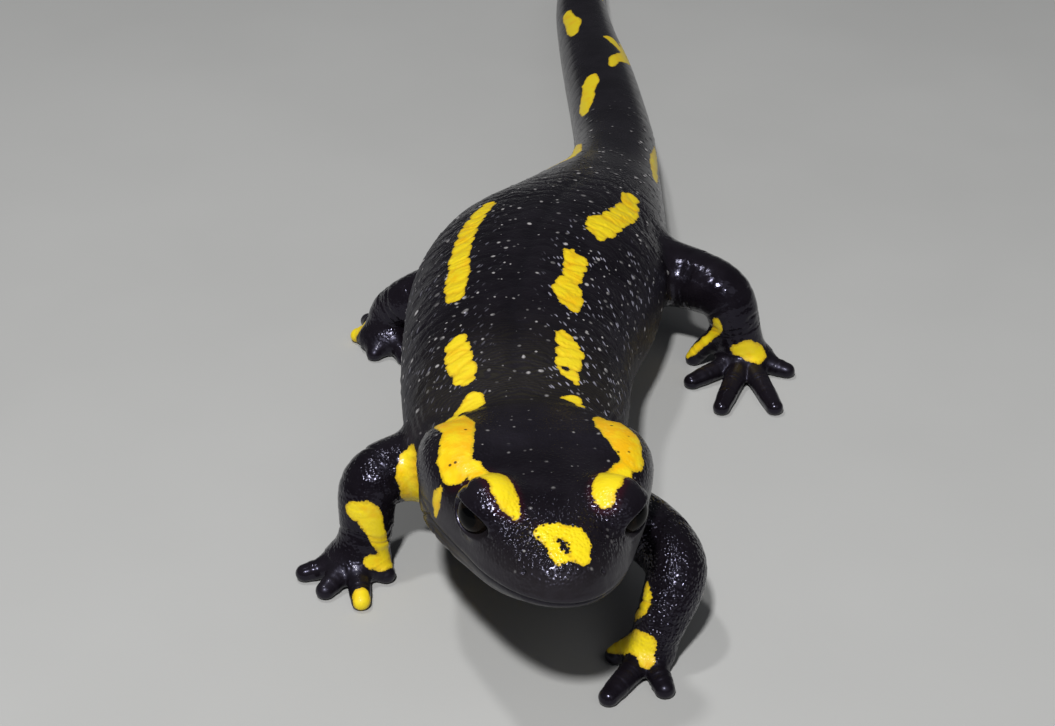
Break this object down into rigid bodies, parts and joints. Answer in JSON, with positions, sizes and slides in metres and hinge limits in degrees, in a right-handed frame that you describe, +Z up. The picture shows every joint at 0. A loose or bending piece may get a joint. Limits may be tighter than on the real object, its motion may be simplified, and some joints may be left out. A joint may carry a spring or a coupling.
{
  "type": "fire salamander",
  "caption": "Still, life-size fire salamander: thick black wet-looking body with yellow patches, head raised, legs spread, long tail laid out behind.",
  "frame": {"origin": "on the floor, under the middle of the footprint's bounding box", "axes": "+Z up; +Y from the head to the tail along the animal's length, the head facing -Y; +X to the animal's left"},
  "size_m": [0.049, 0.1738, 0.0209],
  "materials": {
    "skin": "wet, glossy blue-black amphibian skin with vivid yellow patches in two rows, finely wrinkled and pored",
    "eye": "wet near-black eyeball with a dark brown iris"
  },
  "bodies": {
    "root": {"head": "skin", "lower_jaw": "skin", "eye_right": "eye", "eye_left": "eye", "neck": "skin", "chest": "skin", "belly": "skin", "pelvis": "skin", "tail_root": "skin", "tail_middle": "skin", "tail_end": "skin", "foot_front_left": "skin", "foot_front_right": "skin", "foot_hind_left": "skin", "foot_hind_right": "skin", "forearm_front_left": "skin", "forearm_front_right": "skin", "shank_hind_left": "skin", "shank_hind_right": "skin", "thigh_hind_left": "skin", "thigh_hind_right": "skin", "toe_1_front_left": "skin", "toe_1_front_right": "skin", "toe_1_hind_left": "skin", "toe_1_hind_right": "skin", "toe_2_front_left": "skin", "toe_2_front_right": "skin", "toe_2_hind_left": "skin", "toe_2_hind_right": "skin", "toe_3_front_left": "skin", "toe_3_front_right": "skin", "toe_3_hind_left": "skin", "toe_3_hind_right": "skin", "toe_4_front_left": "skin", "toe_4_front_right": "skin", "toe_4_hind_left": "skin", "toe_4_hind_right": "skin", "toe_5_hind_left": "skin", "toe_5_hind_right": "skin", "upper_arm_front_left": "skin", "upper_arm_front_right": "skin"}
  },
  "joints": []
}
